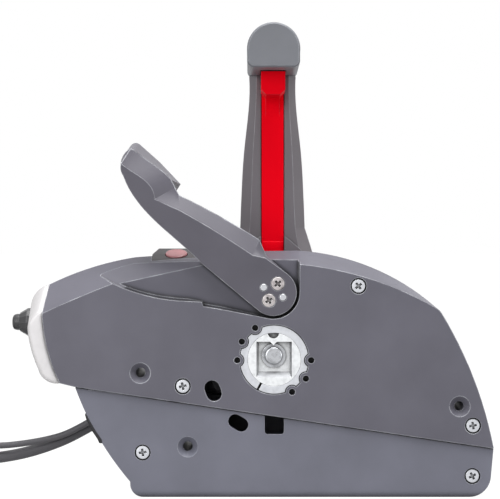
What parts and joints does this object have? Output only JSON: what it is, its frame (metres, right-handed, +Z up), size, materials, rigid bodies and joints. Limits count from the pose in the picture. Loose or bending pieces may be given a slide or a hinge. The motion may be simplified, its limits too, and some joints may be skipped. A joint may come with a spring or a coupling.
{
  "type": "boat throttle control lever",
  "caption": "Side-mount boat throttle and shift control box with T-grip handle, neutral lock bar, fast idle lever, key and stop switches, harness cord and trim lead.",
  "frame": {"origin": "on the control shaft's axis, in the plane of the mounting face", "axes": "+Z up the handle in neutral, +Y from the mounting face to the operator's side, +X along the box towards its pointed end"},
  "size_m": [0.5506, 0.137, 0.3316],
  "materials": {
    "housing_plastic": "satin",
    "lower_plastic": "satin",
    "lever_plastic": "satin",
    "handle_paint": "satin",
    "grip_plastic": "satin",
    "silver_trim": "satin",
    "red_plastic": "gloss",
    "black_plastic": "satin",
    "black_rubber": "matte",
    "cord_jacket": "matte",
    "zinc": "satin",
    "steel": "brushed",
    "bearing_nylon": "satin",
    "red_wire": "satin",
    "blue_wire": "satin",
    "green_wire": "satin",
    "tinned_brass": "satin"
  },
  "bodies": {
    "housing": {"back_cover_upper": "housing_plastic", "back_cover_lower": "lower_plastic", "front_cover": "housing_plastic", "end_bezel": "silver_trim", "key_switch_body": "black_plastic", "key_switch_nut": "black_plastic", "stop_switch_pad": "black_plastic", "stop_switch_body": "black_plastic", "cover_screws": "zinc", "index_ring": "zinc", "shaft_bushing": "bearing_nylon", "idle_bushing": "bearing_nylon", "neutral_switch": "black_plastic", "cable_grommet": "black_rubber", "harness_lead": "cord_jacket", "harness_coil": "cord_jacket", "harness_tail": "cord_jacket", "harness_plug": "black_plastic", "trim_lead": "cord_jacket", "trim_wire_red": "red_wire", "trim_wire_blue": "blue_wire", "trim_wire_green": "green_wire", "wire_terminals": "tinned_brass"},
    "handle": {"handle_arm": "handle_paint", "handle_grip": "grip_plastic", "grip_end_cap": "grip_plastic", "hub_cap": "handle_paint", "handle_bolt": "steel", "rocker_pin": "steel", "control_shaft": "steel", "shaft_disc": "zinc", "shaft_washer": "zinc", "shaft_bolt": "zinc", "shaft_circlip": "zinc", "drive_arm": "steel", "cable_pins": "steel"},
    "lock_bar": {"lock_bar": "red_plastic"},
    "trim_rocker": {"trim_rocker": "black_plastic"},
    "fast_idle": {"fast_idle_lever": "lever_plastic", "lever_screws": "zinc", "lever_pins": "steel", "lever_shaft": "steel", "lever_circlip": "zinc", "throttle_cam": "bearing_nylon"},
    "stop_button": {"stop_button": "red_plastic"},
    "key_knob": {"key_knob": "black_plastic"}
  },
  "joints": [
    {"name": "handle_swing", "type": "hinge", "parent": "housing", "child": "handle", "pos_m": [0, 0, 0], "axis": [0, 1, 0], "range_deg": [-75, 75]},
    {"name": "lock_lift", "type": "slide", "parent": "handle", "child": "lock_bar", "axis": [0, 0, 1], "range_m": [0, 0.005], "stiffness_N_per_m": 600, "springref_m": -0.008},
    {"name": "rocker_tilt", "type": "hinge", "parent": "handle", "child": "trim_rocker", "pos_m": [0, 0.0999, 0.2195], "axis": [1, 0, 0], "range_deg": [-7, 7], "stiffness_Nm_per_rad": 0.05},
    {"name": "fast_idle_swing", "type": "hinge", "parent": "housing", "child": "fast_idle", "pos_m": [-0.0007, 0.0154, 0.0464], "axis": [0, 1, 0], "range_deg": [-27, 15]},
    {"name": "stop_push", "type": "slide", "parent": "housing", "child": "stop_button", "axis": [0, 0.3584, -0.9336], "range_m": [0, 0.003], "stiffness_N_per_m": 800, "springref_m": -0.002},
    {"name": "key_turn", "type": "hinge", "parent": "housing", "child": "key_knob", "pos_m": [-0.17, 0.038, 0.0243], "axis": [1, 0, 0], "range_deg": [0, 90]}
  ]
}
